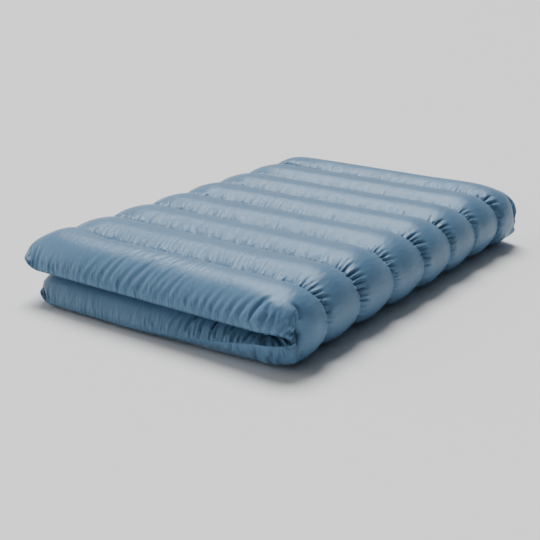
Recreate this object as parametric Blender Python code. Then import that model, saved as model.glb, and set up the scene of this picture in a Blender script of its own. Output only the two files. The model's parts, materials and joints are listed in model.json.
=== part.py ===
"""A quilted infrared sauna blanket lying folded in half, with one named solid for each piece.

Frame: metres, +Z up. The origin is under the middle of the folded blanket, on the surface it lies on.
-X is the open side and +X the fold, -Y is the head end and +Y the foot end.
"""

import math

import bmesh
import bpy
import numpy as np
from mathutils import Matrix, Vector

# Driving dimensions
FOLDED_WIDTH = 1.00
LENGTH = 1.44
LAYER = 0.10  # height of one half at the crest of a channel
CHANNELS = 8
FABRIC = 0.0015  # coated shell cloth with its facing
GAP = 0.0003  # between pieces that touch

# The quilting
PITCH = LENGTH / CHANNELS
STATIONS = (0.0, 0.12, 0.32, 0.68, 0.88)  # where a channel's outline turns, as shares of its width
SEAM_CAVITY = 0.0225  # half the space between the cloths along a quilting seam
HEM_CAVITY = 0.0006  # the same along the outer edge
CREST_CAVITY = LAYER / 2 - FABRIC
FULLNESS = (0.0, 0.64, 1.0, 1.0, 0.64, 0.0)  # how full a channel is at each station and at its far seam
HEM = 0.012  # flat hem along the open side, which holds the zip tape
ROUND_STATIONS = (0.0, 0.13, 0.40, 1.0)  # shares of the width over which a channel closes towards the hem
END_REACH = 0.055  # over which the head and the foot end leave the middle of their half
SIDE_REACH = 0.080  # the same along the open side
BATT_EDGE = 0.02  # share of a channel between its seam and its batt

# The fold, a half turn about the crease between the two linings
CREASE_X = FOLDED_WIDTH / 2 - LAYER
CREASE_Z = LAYER
FOLD_STEPS = 6
FOLD_LINING_RADIUS = 0.003
FOLD_BELLY = 0.018  # how much further out the seams lie half-way round the fold
END_BELLY = 0.075  # the same for the seams at the head and the foot

# The heater, in each half
HEATER_X = (-0.36, CREASE_X - 0.01)
HEATER_Y = 0.62
CARRIER = (-0.0002, 0.0010)  # heights from the middle of the half, outwards
REFLECTOR = (0.0013, 0.0018)
INSULATION_NEAR = 0.0030
CABLE_RADIUS = 0.0015
CABLE_OFFSET = CARRIER[0] - GAP - CABLE_RADIUS
CABLE_RUNS = 14
CABLE_PITCH = PITCH / 2
CABLE_X = (-0.33, 0.36)
RETURN_X = 0.380
WADDING_X = (-0.31, 0.34)
WADDING_NEAR = -0.0040
CLEAR = 0.0010  # between filling and cloth
CABLE_BEND = 0.012
SENSOR_EDGE = 0.0008
SENSORS = (  # name, channel, size
    ("thermal_cutout", 3, (0.020, 0.0075, 0.0033)),
    ("temperature_sensor", 4, (0.012, 0.006, 0.003)),
)
LEAD_Y = 0.63
LEAD_RADIUS = 0.0021
TERMINAL_X = 0.018  # from the middle of the inlet to the cables at its two ends
SPLICE = (0.025, 0.016, 0.006)
SPLICE_X = 0.3475

# The power inlet, at the foot end of the lower half
INLET_X = 0.25
INLET_Z = LAYER / 2
HOUSING = (0.070, 0.028, 0.031)
FLANGE = (0.072, 0.003, 0.034)
SOCKET = (0.030, 0.016, 0.012)
CONTACTS = 4
CONTACT_RADIUS = 0.0012
CONTACT_LENGTH = 0.009
CONTACT_ROOT = 0.0055
CONTACT_SPACING = 0.006
INLET_BACK = LENGTH / 2 - FLANGE[1] - GAP - HOUSING[1]
SCREW_X = 0.0315
SCREW_Z = 0.0125
SCREW_RADIUS = 0.0013
SCREW_HEAD_RADIUS = 0.0026
SCREW_LENGTH = 0.016
SCREW_HEAD_DEPTH = 0.0018
SCREW_SUNK = 0.0002  # from the flange's face to the top of the head
SCREW_SLOT = (0.0036, 0.0006, 0.0006)

# The zip along the open side
ZIP_HALF_LENGTH = 0.620
TAPE_THICKNESS = 0.0005
TAPE_INSIDE = 0.008
TAPE_OUTSIDE = 0.0115
TAPE_END = 0.005  # how far the tape and the stops run past the chain
CHAIN = (0.0045, 0.0022)
CHAIN_OUTSIDE = 0.0035  # how far the chain stands out past the tape
CHAIN_EDGE = 0.0006
FOOT_PIECE = 0.009
FOOT_PIECE_EXTRA = 0.001  # the box is wider than the pin
SLIDER_LENGTH = 0.014
SLIDER_WALL = 0.0015
PARKED_Y = ZIP_HALF_LENGTH - 0.005
BAIL_RADIUS = 0.0007
BAIL_SPAN = 0.0042
BAIL_RISE = 0.0024
POST = (0.0012, 0.0020)
PULL = (0.0052, 0.032, 0.0014)
PULL_EYE = 0.0019

# The closing strips at the foot end
FOOT_STRIP_X = (-0.33, INLET_X - 0.05)
FOOT_STRIP = (0.08, 0.86)  # share of the slope down to the foot end that the strips cover
STRIP_THICKNESS = 0.001
CUTTER_REACH = 0.01  # how far a cutter stands out of the face that it opens

MATERIALS = {  # colour, roughness, metallic
    "shell_fabric": ((0.30, 0.42, 0.52), 0.42, 0.0),
    "lining_fabric": ((0.27, 0.36, 0.45), 0.45, 0.0),
    "insulation": ((0.90, 0.89, 0.85), 0.95, 0.0),
    "wadding": ((0.82, 0.82, 0.80), 0.95, 0.0),
    "carrier_cloth": ((0.16, 0.16, 0.17), 0.90, 0.0),
    "heating_cable": ((0.35, 0.10, 0.06), 0.50, 0.0),
    "reflective_foil": ((0.80, 0.81, 0.83), 0.25, 1.0),
    "black_plastic": ((0.03, 0.03, 0.035), 0.45, 0.0),
    "contact_metal": ((0.78, 0.62, 0.32), 0.30, 1.0),
    "screw_steel": ((0.60, 0.61, 0.62), 0.35, 1.0),
    "zip_tape": ((0.12, 0.18, 0.24), 0.80, 0.0),
    "zip_coil": ((0.10, 0.15, 0.20), 0.45, 0.0),
    "zip_metal": ((0.45, 0.46, 0.48), 0.32, 1.0),
    "closing_strip": ((0.10, 0.14, 0.18), 0.90, 0.0),
}


class Half:
    """One half of the folded blanket. Offsets count from its middle height, outwards from the other half."""

    def __init__(self, name, outward, open_x, rounding, side_droop, foot_droop, head_droop, corner_rise):
        self.name = name
        self.outward = outward
        self.open_x = open_x
        self.rounding = rounding  # width over which the channels close towards the hem
        self.middle = LAYER * (1 + outward / 2)
        self.side_droop = side_droop
        self.foot_droop = foot_droop
        self.head_droop = head_droop  # at the open side and at the fold
        self.corner_rise = corner_rise  # how much less the ends sink at the open side
        self.lowest = 0.0 if outward < 0 else LAYER + GAP / 2
        self.highest = LAYER - GAP / 2 if outward < 0 else 2 * LAYER

    def side_stations(self):
        return [self.open_x] + [self.open_x + HEM + share * self.rounding for share in ROUND_STATIONS]

    def space(self, x, y):
        return cavity(y, (x - self.open_x - HEM) / self.rounding)

    def height(self, x, y):
        """Height of the middle of the half, which sinks towards its free edges."""
        by_side = 1 - smooth((x - self.open_x - HEM) / SIDE_REACH)
        share = min(max(x / CREASE_X, 0.0), 1.0)
        head = self.head_droop[0] + (self.head_droop[1] - self.head_droop[0]) * share
        at_end = (head if y < 0 else self.foot_droop) - self.corner_rise * by_side
        sunk = self.side_droop * by_side
        return self.middle - sunk - (at_end - sunk) * end_share(y)

    def point(self, x, y, offset):
        """A point that many metres outwards from the middle, kept between the floor and the other half."""
        z = self.height(x, y) + self.outward * offset
        return Vector((x, y, min(max(z, self.lowest), self.highest)))


LOWER = Half("lower", -1, -0.44, 0.075, 0.018, 0.0, (0.035, -0.023), 0.0)
UPPER = Half("upper", 1, -0.485, 0.120, 0.008, 0.042, (0.042, 0.042), 0.020)


def smooth(share):
    share = min(max(share, 0.0), 1.0)
    return share * share * (3 - 2 * share)


def end_share(y):
    """1 at a free end of the blanket, falling to 0 at the droop's reach."""
    return 1 - smooth((LENGTH / 2 - abs(y)) / END_REACH)


def cavity(y, inside=1.0):
    """Half the space between the two cloths. inside rises from 0 at the hem to 1 where a channel is full."""
    inside = min(max(inside, 0.0), 1.0)
    along = (y + LENGTH / 2) / PITCH
    fullness = float(np.interp(along - math.floor(along + 1e-9), (*STATIONS, 1.0), FULLNESS))
    at_end = abs(y) > LENGTH / 2 - 1e-6
    seam = HEM_CAVITY if at_end else HEM_CAVITY + (SEAM_CAVITY - HEM_CAVITY) * smooth(inside)
    return seam + (CREST_CAVITY - SEAM_CAVITY) * fullness * math.sqrt(1 - (1 - inside) ** 2)


def lengthwise(first=0, last=CHANNELS, start=0, stop=0):
    """Y of every station from channel first to channel last, less some stations at each end."""
    shares = [k + s for k in range(first, last) for s in STATIONS] + [last]
    return [-LENGTH / 2 + PITCH * s for s in shares[start : len(shares) - stop]]


def clear_scene():
    for obj in list(bpy.data.objects):
        bpy.data.objects.remove(obj, do_unlink=True)


def material(name):
    found = bpy.data.materials.get(name)
    if found is None:
        colour, roughness, metallic = MATERIALS[name]
        found = bpy.data.materials.new(name)
        found.use_nodes = True
        shader = found.node_tree.nodes["Principled BSDF"]
        shader.inputs["Base Color"].default_value = (*colour, 1.0)
        shader.inputs["Roughness"].default_value = roughness
        shader.inputs["Metallic"].default_value = metallic
    return found


def add(name, bm, surface, location=(0, 0, 0), parent=None):
    bmesh.ops.recalc_face_normals(bm, faces=bm.faces)
    mesh = bpy.data.meshes.new(name)
    bm.to_mesh(mesh)
    bm.free()
    obj = bpy.data.objects.new(name, mesh)
    bpy.context.scene.collection.objects.link(obj)
    obj.location = location
    obj.parent = parent
    if surface:
        mesh.materials.append(material(surface))
    return obj


def pivot(name, location, parent=None):
    """An empty on a joint's axis, which the moving pieces hang from. Its place is from its parent."""
    empty = bpy.data.objects.new(name, None)
    bpy.context.scene.collection.objects.link(empty)
    empty.location = location
    empty.parent = parent
    return empty


def sheet(name, surface, near, far):
    """A closed solid between two grids of points of the same size."""
    bm = bmesh.new()
    grids = [[[bm.verts.new(p) for p in row] for row in grid] for grid in (near, far)]
    rows, columns = len(near), len(near[0])
    for grid in grids:
        for i in range(rows - 1):
            for j in range(columns - 1):
                a, b, c, d = grid[i][j], grid[i + 1][j], grid[i + 1][j + 1], grid[i][j + 1]
                bm.faces.new((a, b, c))
                bm.faces.new((a, c, d))
    rim = [(0, j) for j in range(columns)]
    rim += [(i, columns - 1) for i in range(1, rows)]
    rim += [(rows - 1, j) for j in range(columns - 2, -1, -1)]
    rim += [(i, 0) for i in range(rows - 2, 0, -1)]
    for (i, j), (k, m) in zip(rim, rim[1:] + rim[:1]):
        bm.faces.new((grids[0][i][j], grids[0][k][m], grids[1][k][m], grids[1][i][j]))
    return add(name, bm, surface)


def box_mesh(low, high):
    bm = bmesh.new()
    size = Vector(high) - Vector(low)
    centre = (Vector(high) + Vector(low)) / 2
    bmesh.ops.create_cube(bm, size=1, matrix=Matrix.Translation(centre) @ Matrix.Diagonal((*size, 1)))
    return bm


def box(name, surface, low, high, bevel=0.0, parent=None, location=(0, 0, 0)):
    obj = add(name, box_mesh(low, high), surface, location, parent)
    if bevel:
        round_edges(obj, bevel)
    return obj


def rod_mesh(radius, start, stop, sides=12, tip_radius=None):
    """A round bar, or a cone if it has a tip radius."""
    bm = bmesh.new()
    axis = Vector(stop) - Vector(start)
    turn = Vector((0, 0, 1)).rotation_difference(axis).to_matrix().to_4x4()
    place = Matrix.Translation((Vector(start) + Vector(stop)) / 2) @ turn
    tip = radius if tip_radius is None else tip_radius
    bmesh.ops.create_cone(
        bm, cap_ends=True, segments=sides, radius1=radius, radius2=tip, depth=axis.length, matrix=place
    )
    return bm


def round_edges(obj, width, segments=1):
    bevel = obj.modifiers.new("rounded_edges", "BEVEL")
    bevel.width = width
    bevel.segments = segments
    bevel.limit_method = "ANGLE"


def combine(obj, bm, operation="DIFFERENCE", name="cutter"):
    """A Boolean of obj with a helper shape, which is not a piece itself. The helper shares obj's parent."""
    helper = add(f"{obj.name}_{name}", bm, None, obj.location, obj.parent)
    helper.hide_render = True
    helper.display_type = "WIRE"
    boolean = obj.modifiers.new(name, "BOOLEAN")
    boolean.operation = operation
    boolean.solver = "EXACT"
    boolean.object = helper


def tube(name, surface, points, radius):
    """A round cable with filled ends along a list of points."""
    curve = bpy.data.curves.new(name, "CURVE")
    curve.dimensions = "3D"
    curve.bevel_depth = radius
    curve.bevel_resolution = 1
    curve.use_fill_caps = True
    spline = curve.splines.new("POLY")
    spline.points.add(len(points) - 1)
    for place, p in zip(spline.points, points):
        place.co = (*p, 1)
    obj = bpy.data.objects.new(name, curve)
    bpy.context.scene.collection.objects.link(obj)
    curve.materials.append(material(surface))
    return obj


def with_round_corners(points, radius, steps=3):
    """The route through the points, in their plane, with each corner turned into an arc."""
    route = [Vector(points[0])]
    for before, corner, after in zip(points, points[1:], points[2:]):
        corner = Vector(corner)
        back = (Vector(before) - corner).normalized()
        on = (Vector(after) - corner).normalized()
        for i in range(steps + 1):
            t = i / steps
            route.append(corner + radius * ((1 - t) ** 2 * back + t**2 * on))
    return route + [Vector(points[-1])]


def cloth(half, name, surface, side):
    """The outer shell (side 1) or the lining (side -1) of a half."""
    xs = half.side_stations() + [CREASE_X - GAP]
    ys = lengthwise()

    def face(thickness):
        return [[half.point(x, y, side * (half.space(x, y) + thickness)) for y in ys] for x in xs]

    inner, outer = face(0.0), face(FABRIC)
    for inner_row, outer_row in zip(inner, outer):
        for a, b in zip(inner_row, outer_row):
            away = half.outward * side * FABRIC
            if abs(b.z - a.z) < FABRIC:  # the cloth lies flat on the floor, or on the other half
                a.z = b.z - away
    return sheet(name, surface, inner, outer)


def insulation(half, channel):
    """The batt that fills a channel between the reflector and the shell."""
    shares = (BATT_EDGE, *STATIONS[1:], 1 - BATT_EDGE)
    if channel == 0:
        shares = shares[2:]
    if channel == CHANNELS - 1:
        shares = shares[:-2]
    ys = [-LENGTH / 2 + PITCH * (channel + s) for s in shares]
    xs = half.side_stations()[3:] + [CREASE_X - 2 * FABRIC]
    near = [[half.point(x, y, 0) for y in ys] for x in xs]
    far = [[half.point(x, y, half.space(x, y) - 2 * CLEAR) for y in ys] for x in xs]
    for row in near:
        for p in row:
            p.z = half.middle + half.outward * INSULATION_NEAR
    return sheet(f"{half.name}_insulation_{channel + 1}", "insulation", near, far)


def wadding(half):
    """The soft layer between the heating cable and the lining, thinner at each seam."""
    ys = lengthwise(start=2, stop=3)
    near = [[half.point(x, y, WADDING_NEAR) for y in ys] for x in WADDING_X]
    far = [[half.point(x, y, CLEAR - cavity(y)) for y in ys] for x in WADDING_X]
    return sheet(f"{half.name}_wadding", "wadding", near, far)


def flat_layer(half, name, surface, offsets):
    """A flat heater layer between two offsets from the middle of the half."""
    heights = [half.middle + half.outward * offset for offset in offsets]
    low = (HEATER_X[0], -HEATER_Y, min(heights))
    high = (HEATER_X[1], HEATER_Y, max(heights))
    return box(name, surface, low, high)


def cable_route(half, head, tail):
    """Head and tail lead in and out. Between them the cable runs to and fro in the channels, then returns."""
    z = half.middle + half.outward * CABLE_OFFSET
    top = CABLE_PITCH * (CABLE_RUNS - 1) / 2
    corners = [(head[-1][0], top)]
    for run in range(CABLE_RUNS - 1):
        x = CABLE_X[run % 2]
        corners += [(x, top - run * CABLE_PITCH), (x, top - (run + 1) * CABLE_PITCH)]
    corners += [(RETURN_X, -top)]
    flat = list(head) + corners + list(tail)
    return with_round_corners([(x, y, z) for x, y in flat], CABLE_BEND)


def heater(half, head, tail):
    flat_layer(half, f"{half.name}_heater_carrier", "carrier_cloth", CARRIER)
    flat_layer(half, f"{half.name}_reflector", "reflective_foil", REFLECTOR)
    tube(f"{half.name}_heating_cable", "heating_cable", cable_route(half, head, tail), CABLE_RADIUS)
    for name, channel, (length, width, thickness) in SENSORS:
        y = -LENGTH / 2 + PITCH * (channel + 0.5)
        near = CARRIER[0] - GAP
        heights = [half.middle + half.outward * offset for offset in (near, near - thickness)]
        low = (-length / 2, y - width / 2, min(heights))
        high = (length / 2, y + width / 2, max(heights))
        box(f"{half.name}_{name}", "black_plastic", low, high, bevel=SENSOR_EDGE)


def splice_box():
    """The block where the lead from the fold joins the upper heating cable."""
    top = UPPER.middle + CARRIER[0] - GAP
    low = (SPLICE_X - SPLICE[0] / 2, LEAD_Y - SPLICE[1] / 2, top - SPLICE[2])
    high = (SPLICE_X + SPLICE[0] / 2, LEAD_Y + SPLICE[1] / 2, top)
    box("upper_splice", "black_plastic", low, high, bevel=SENSOR_EDGE)


def fold_radius(angle, y):
    """Distance of the middle of the padding from the crease, at an angle from -90 to 90 degrees."""
    share = angle / math.pi + 0.5
    lower = LOWER.head_droop[1] if y < 0 else LOWER.foot_droop
    sunk = lower * (1 - share) - UPPER.foot_droop * share
    belly = FOLD_BELLY + (END_BELLY - FOLD_BELLY) * end_share(y)
    radius = LAYER / 2 + sunk * end_share(y) + belly * math.cos(angle) ** 2
    return min(radius, LAYER - FABRIC - HEM_CAVITY)


def fold_sheet(name, surface, ys, reach):
    """A layer that wraps round the fold. reach gives its two offsets from the middle, for a half cavity."""
    angles = [math.pi * (i / FOLD_STEPS - 0.5) for i in range(FOLD_STEPS + 1)]

    def face(which):
        rows = []
        for angle in angles:
            row = []
            for y in ys:
                radius = reach(fold_radius(angle, y), cavity(y))[which]
                x = CREASE_X + max(radius * math.cos(angle), 0.0)
                row.append(Vector((x, y, CREASE_Z + radius * math.sin(angle))))
            rows.append(row)
        return rows

    return sheet(name, surface, face(0), face(1))


def fold():
    def shell(middle, space):
        outer = min(middle + space + FABRIC, LAYER)
        return outer - FABRIC, outer

    def lining(middle, space):
        inner = max(middle - space - FABRIC, FOLD_LINING_RADIUS)
        return inner, inner + FABRIC

    def padding(middle, space):
        inner = max(middle - space + CLEAR, FOLD_LINING_RADIUS + FABRIC + CLEAR)
        return inner, min(middle + space, LAYER - FABRIC) - 2 * CLEAR

    fold_sheet("fold_shell", "shell_fabric", lengthwise(), shell)
    fold_sheet("fold_lining", "lining_fabric", lengthwise(), lining)
    fold_sheet("fold_padding", "insulation", lengthwise(start=2, stop=3), padding)


def fold_lead():
    """The two-core lead from the inlet, round the fold, to the splice in the upper half."""
    low, high = (half.middle + half.outward * CABLE_OFFSET for half in (LOWER, UPPER))
    radius = CREASE_Z - low
    start = INLET_X + TERMINAL_X
    corners = [(start, INLET_BACK - GAP, low), (start, LEAD_Y, low), (CREASE_X, LEAD_Y, low)]
    route = with_round_corners(corners, CABLE_BEND)
    steps = 8
    for i in range(1, steps + 1):
        angle = math.pi * (i / steps - 0.5)
        across, up = radius * math.cos(angle), radius * math.sin(angle)
        route.append(Vector((CREASE_X + across, LEAD_Y, CREASE_Z + up)))
    route.append(Vector((SPLICE_X + SPLICE[0] / 2 + GAP, LEAD_Y, high)))
    return tube("fold_lead", "heating_cable", route, LEAD_RADIUS)


def zip_side(half):
    """Tape, coil chain and end pieces along a half's hem. Returns the middle of the chain."""
    z = half.height(half.open_x, 0)
    edge = half.open_x - TAPE_OUTSIDE
    tape_z = TAPE_THICKNESS / 2
    box(
        f"{half.name}_zip_tape",
        "zip_tape",
        (edge, -ZIP_HALF_LENGTH - TAPE_END, z - tape_z),
        (half.open_x + TAPE_INSIDE, ZIP_HALF_LENGTH + TAPE_END, z + tape_z),
    )
    chain_x = (edge - CHAIN_OUTSIDE, edge - CHAIN_OUTSIDE + CHAIN[0])
    chain_z = (z + tape_z + GAP, z + tape_z + GAP + CHAIN[1])
    length = ZIP_HALF_LENGTH
    box(
        f"{half.name}_zip_chain",
        "zip_coil",
        (chain_x[0], -length, chain_z[0]),
        (chain_x[1], length, chain_z[1]),
        bevel=CHAIN_EDGE,
    )
    low, high = chain_z[0], chain_z[1] + CHAIN_EDGE
    box(
        f"{half.name}_zip_stop",
        "zip_metal",
        (chain_x[0], -length - TAPE_END, low),
        (chain_x[1], -length - GAP, high),
        bevel=CHAIN_EDGE,
    )
    foot, extra = ("zip_box", FOOT_PIECE_EXTRA) if half is LOWER else ("zip_pin", 0.0)
    box(
        foot,
        "zip_metal",
        (chain_x[0], length + GAP, low),
        (chain_x[1] + extra, length + FOOT_PIECE, high),
        bevel=CHAIN_EDGE,
    )
    return sum(chain_x) / 2, sum(chain_z) / 2


def zip_slider(x, z):
    """The slider on the lower chain, open towards the tape. Shapes count from the middle of the chain."""
    travelling = pivot("zip_slider_travel", (x, PARKED_Y - SLIDER_LENGTH / 2, z))
    half = SLIDER_LENGTH / 2
    floor = -CHAIN[1] / 2 - GAP - TAPE_THICKNESS - GAP
    roof = CHAIN[1] / 2 + GAP
    wall = -CHAIN[0] / 2 - GAP
    low = (wall - SLIDER_WALL, -half, floor - SLIDER_WALL)
    high = (CHAIN[0] / 2 + CHAIN_OUTSIDE, half, roof + SLIDER_WALL)
    slider = box("zip_slider", "zip_metal", low, high, parent=travelling)
    combine(slider, box_mesh((wall, -1, floor), (1, 1, roof)), name="channel")
    bail_z = roof + SLIDER_WALL + BAIL_RISE
    for side, name in ((-1, "left"), (1, "right")):
        middle = side * BAIL_SPAN
        post_low = (middle - POST[0] / 2, -POST[1] / 2, roof + SLIDER_WALL / 3)
        post_high = (middle + POST[0] / 2, POST[1] / 2, bail_z + POST[1] / 2)
        combine(slider, box_mesh(post_low, post_high), "UNION", f"post_{name}")
    bar = rod_mesh(BAIL_RADIUS, (-BAIL_SPAN, 0, bail_z), (BAIL_SPAN, 0, bail_z), sides=8)
    combine(slider, bar, "UNION", "bar")
    zip_pull(pivot("zip_pull_hinge", (0, 0, bail_z), travelling))


def zip_pull(hinge):
    half = PULL[0] / 2
    pull = add("zip_pull", rod_mesh(PULL_EYE, (-half, 0, 0), (half, 0, 0)), "zip_metal", parent=hinge)
    tail = box_mesh((-half, PULL_EYE / 2, -PULL[2] / 2), (half, PULL[1], PULL[2] / 2))
    combine(pull, tail, "UNION", "tail")
    combine(pull, rod_mesh(BAIL_RADIUS + GAP, (-1, 0, 0), (1, 0, 0), sides=8), name="eye")


def foot_strips():
    """Hook and loop strips that close the foot end, one on each lining."""
    top, bottom = lengthwise()[-2:]
    for half, kind in ((LOWER, "loop"), (UPPER, "hook")):
        faces = []
        for thickness in (GAP, GAP + STRIP_THICKNESS):
            rows = []
            for x in FOOT_STRIP_X:
                crown, hem = (half.point(x, y, -cavity(y) - FABRIC) for y in (top, bottom))
                away = Vector((0, 0, half.outward * thickness))
                rows.append([crown.lerp(hem, share) - away for share in FOOT_STRIP])
            faces.append(rows)
        sheet(f"foot_{kind}_strip", "closing_strip", *faces)


def inlet_pockets(cloth_object):
    """Cuts room for the inlet out of a cloth of the lower half."""
    end = LENGTH / 2
    for name, piece, back in (("flange", FLANGE, end - FLANGE[1]), ("housing", HOUSING, INLET_BACK)):
        across, up = piece[0] / 2 + 2 * GAP, piece[2] / 2 + 2 * GAP
        low = (INLET_X - across, back - GAP, INLET_Z - up)
        high = (INLET_X + across, end + CUTTER_REACH, INLET_Z + up)
        combine(cloth_object, box_mesh(low, high), name=f"{name}_pocket")


def screw_places():
    return [(INLET_X + i * SCREW_X, INLET_Z + k * SCREW_Z) for i in (-1, 1) for k in (-1, 1)]


def inlet():
    """The moulded socket that the controller's plug goes into."""
    face = LENGTH / 2
    housing = box(
        "inlet_housing",
        "black_plastic",
        (INLET_X - HOUSING[0] / 2, INLET_BACK, INLET_Z - HOUSING[2] / 2),
        (INLET_X + HOUSING[0] / 2, INLET_BACK + HOUSING[1], INLET_Z + HOUSING[2] / 2),
    )
    flange = box(
        "inlet_flange",
        "black_plastic",
        (INLET_X - FLANGE[0] / 2, face - FLANGE[1], INLET_Z - FLANGE[2] / 2),
        (INLET_X + FLANGE[0] / 2, face, INLET_Z + FLANGE[2] / 2),
    )
    low = (INLET_X - SOCKET[0] / 2, face - SOCKET[1], INLET_Z - SOCKET[2] / 2)
    high = (INLET_X + SOCKET[0] / 2, face + CUTTER_REACH, INLET_Z + SOCKET[2] / 2)
    for piece in (housing, flange):
        combine(piece, box_mesh(low, high), name="socket")
    for number in range(CONTACTS):
        inlet_contact(housing, number + 1, INLET_X + (number - (CONTACTS - 1) / 2) * CONTACT_SPACING)
    for number, (x, z) in enumerate(screw_places(), 1):
        inlet_screw(housing, flange, number, x, z)


def inlet_contact(housing, number, x):
    """A pin that stands up from the socket's floor, with its bore."""
    floor = LENGTH / 2 - SOCKET[1]
    root = (x, floor - CONTACT_ROOT, INLET_Z)
    tip = (x, floor + CONTACT_LENGTH, INLET_Z)
    bore = rod_mesh(CONTACT_RADIUS + GAP, (x, root[1] - GAP, INLET_Z), (x, floor + GAP, INLET_Z))
    combine(housing, bore, name=f"contact_bore_{number}")
    add(f"inlet_contact_{number}", rod_mesh(CONTACT_RADIUS, root, tip), "contact_metal")


def inlet_screw(housing, flange, number, x, z):
    """A countersunk screw through a corner of the flange into the housing, with its hole."""
    face = LENGTH / 2
    shank_end = face - SCREW_LENGTH
    neck = face - SCREW_HEAD_DEPTH
    top = face - SCREW_SUNK
    for piece in (housing, flange):
        hole = rod_mesh(SCREW_RADIUS + GAP, (x, shank_end - GAP, z), (x, face + CUTTER_REACH, z))
        combine(piece, hole, name=f"screw_hole_{number}")
    sink_radii = (SCREW_RADIUS + 2 * GAP, SCREW_HEAD_RADIUS + 2 * GAP)
    sink = rod_mesh(sink_radii[0], (x, neck - GAP, z), (x, face + GAP, z), tip_radius=sink_radii[1])
    combine(flange, sink, name=f"countersink_{number}")
    shank = rod_mesh(SCREW_RADIUS, (x, shank_end, z), (x, neck + GAP, z))
    screw = add(f"inlet_screw_{number}", shank, "screw_steel")
    head = rod_mesh(SCREW_RADIUS, (x, neck, z), (x, top, z), tip_radius=SCREW_HEAD_RADIUS)
    combine(screw, head, "UNION", "head")
    length, depth, width = SCREW_SLOT
    slot_low = (x - length / 2, top - depth, z - width / 2)
    slot_high = (x + length / 2, top + depth, z + width / 2)
    combine(screw, box_mesh(slot_low, slot_high), name="slot")


def build():
    clear_scene()
    for half in (LOWER, UPPER):
        shell = cloth(half, f"{half.name}_outer_shell", "shell_fabric", 1)
        lining = cloth(half, f"{half.name}_lining", "lining_fabric", -1)
        if half is LOWER:
            inlet_pockets(shell)
            inlet_pockets(lining)
        wadding(half)
        for channel in range(CHANNELS):
            insulation(half, channel)
    terminals = INLET_BACK - GAP
    first_x = INLET_X - TERMINAL_X
    tail_y = LEAD_Y - TERMINAL_X
    heater(
        LOWER,
        [(first_x, terminals), (first_x, LEAD_Y)],
        [(RETURN_X, tail_y), (INLET_X, tail_y), (INLET_X, terminals)],
    )
    splice_side = SPLICE_X - SPLICE[0] / 2 - GAP
    splice_foot = LEAD_Y - SPLICE[1] / 2 - GAP
    tail_y = splice_foot - CABLE_BEND - GAP
    heater(
        UPPER,
        [(splice_side, LEAD_Y), (splice_side - 3 * CABLE_BEND, LEAD_Y)],
        [(RETURN_X, tail_y), (SPLICE_X, tail_y), (SPLICE_X, splice_foot)],
    )
    splice_box()
    fold()
    fold_lead()
    zip_side(UPPER)
    zip_slider(*zip_side(LOWER))
    foot_strips()
    inlet()


build()
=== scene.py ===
"""The looks of a folded infrared sauna blanket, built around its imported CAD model.

The shell and the lining are two sheets of cloth, sewn together along the quilting seams and round the edge,
and pushed apart by the filling. Each runs under the lower half, round the fold and over the upper half.
"""

import json
import math

import bmesh
import bpy
import numpy as np
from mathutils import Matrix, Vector


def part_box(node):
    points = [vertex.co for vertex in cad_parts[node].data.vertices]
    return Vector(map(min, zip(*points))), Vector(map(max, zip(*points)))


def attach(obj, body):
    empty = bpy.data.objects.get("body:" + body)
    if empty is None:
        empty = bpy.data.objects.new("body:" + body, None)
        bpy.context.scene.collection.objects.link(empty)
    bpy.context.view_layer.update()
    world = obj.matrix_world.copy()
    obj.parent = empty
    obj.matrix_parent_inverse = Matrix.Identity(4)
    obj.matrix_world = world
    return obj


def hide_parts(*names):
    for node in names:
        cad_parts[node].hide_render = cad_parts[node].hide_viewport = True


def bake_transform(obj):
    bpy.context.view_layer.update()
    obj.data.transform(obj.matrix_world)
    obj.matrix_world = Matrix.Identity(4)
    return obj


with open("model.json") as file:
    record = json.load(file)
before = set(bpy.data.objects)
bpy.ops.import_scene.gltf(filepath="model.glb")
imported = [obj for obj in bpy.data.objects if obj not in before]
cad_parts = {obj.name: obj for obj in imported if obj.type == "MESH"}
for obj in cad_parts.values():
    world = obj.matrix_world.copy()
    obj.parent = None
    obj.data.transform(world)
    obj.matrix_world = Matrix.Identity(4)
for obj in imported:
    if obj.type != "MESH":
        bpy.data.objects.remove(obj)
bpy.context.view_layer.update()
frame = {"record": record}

# The blanket's driving sizes, as in the CAD
LENGTH = 1.44
CHANNELS = 8
PITCH = LENGTH / CHANNELS
LAYER = 0.10  # thickness of one half; the fold's axis is this high
FOLD_X = 0.40
LOWER_EDGE_X = -0.44
UPPER_EDGE_X = -0.485
HALVES = ("lower", "upper")

# The cloth's grid
CELL = 0.0043
CHANNEL_CLOTH = 0.204  # cloth from seam to seam, over the crest
CELLS = int(CHANNEL_CLOTH / CELL)  # from seam to seam
HEM_WIDTH = 0.010
HEM_ROWS = 3

# The channels before they are relaxed
LOWER_ROUNDING = 0.075  # how far in from the hem a half takes to reach its full height
UPPER_ROUNDING = 0.12
END_Y = 0.712
SEAM_OFF = 0.020  # from the middle of a half to each cloth at a quilting seam
CREST_OFF = 0.0505
EDGE_OFF = 0.0004
SEAM_RAMP = 0.09  # how far in from the hem the seams take to open
UPPER_RAMP_CUT = 0.035  # by how much less on the upper half's shell
UPPER_LIFT = 0.70  # how much shallower its seams are near its open edge
LIFT_START, LIFT_RAMP = 0.05, 0.26
SQUARENESS = 0.8  # below 1, a channel has a flatter top and steeper sides than a circular arc
LEAST_RISE = 0.012
FOLD_BELLY = 0.018  # how much further out the seams lie round the fold
LINING_BELLY = 0.008
SEAM_WANDER, DEPTH_WANDER, PLUMP_WANDER = 0.0018, 0.05, 0.012
WANDER_LUMP = 0.16

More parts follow.
